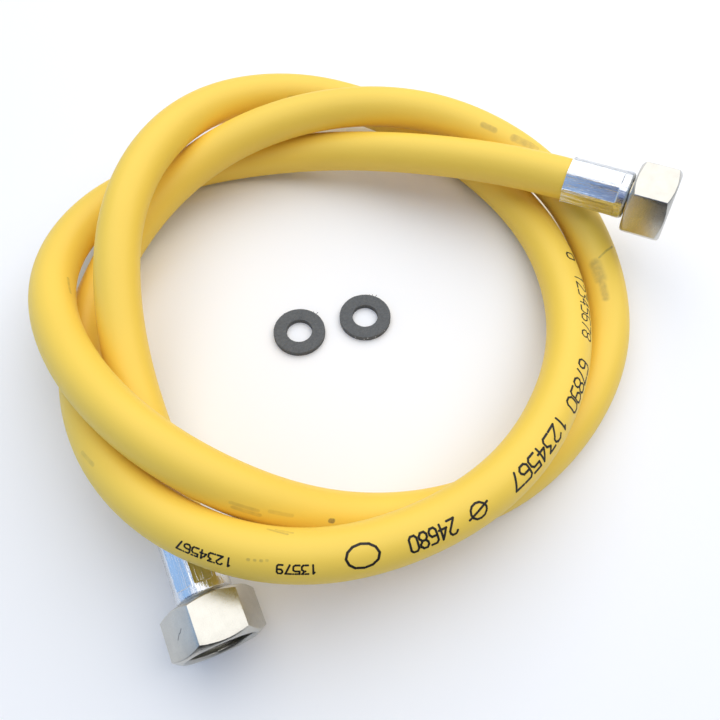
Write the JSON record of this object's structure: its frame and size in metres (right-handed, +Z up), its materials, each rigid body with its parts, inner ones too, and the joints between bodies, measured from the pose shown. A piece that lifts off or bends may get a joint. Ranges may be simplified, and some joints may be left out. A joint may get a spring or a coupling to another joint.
{
  "type": "flexible gas hose",
  "caption": "Flexible hose in a loose coil, with a crimped ferrule and a free-turning hexagon union nut at each end and flat sealing washers beside it; it carries gas to an appliance.",
  "frame": {"origin": "on the floor, midway between the two end fittings", "axes": "+Z up from the floor; -Y towards the near nut, +X towards the far nut"},
  "size_m": [0.2278, 0.2292, 0.0478],
  "materials": {
    "hose": "smooth satin cover",
    "insert": "plated, turned",
    "ferrule": "bright plated, pressed",
    "nut": "nickel plated, satin",
    "gasket": "matt pressed fibre"
  },
  "bodies": {
    "hose_assembly": {"hose": "hose", "near_insert": "insert", "near_ferrule": "ferrule", "far_insert": "insert", "far_ferrule": "ferrule", "washer_1": "gasket", "washer_2": "gasket"},
    "near_nut_body": {"near_nut": "nut"},
    "far_nut_body": {"far_nut": "nut"}
  },
  "joints": [
    {"name": "near_nut_turn", "type": "hinge", "parent": "hose_assembly", "child": "near_nut_body", "pos_m": [-0.06792, -0.07403, 0.01369], "axis": [0.4073, -0.9106, -0.0698], "continuous": true},
    {"name": "far_nut_turn", "type": "hinge", "parent": "hose_assembly", "child": "far_nut_body", "pos_m": [0.07515, 0.06512, 0.03282], "axis": [0.8911, -0.4424, 0.1011], "continuous": true}
  ]
}
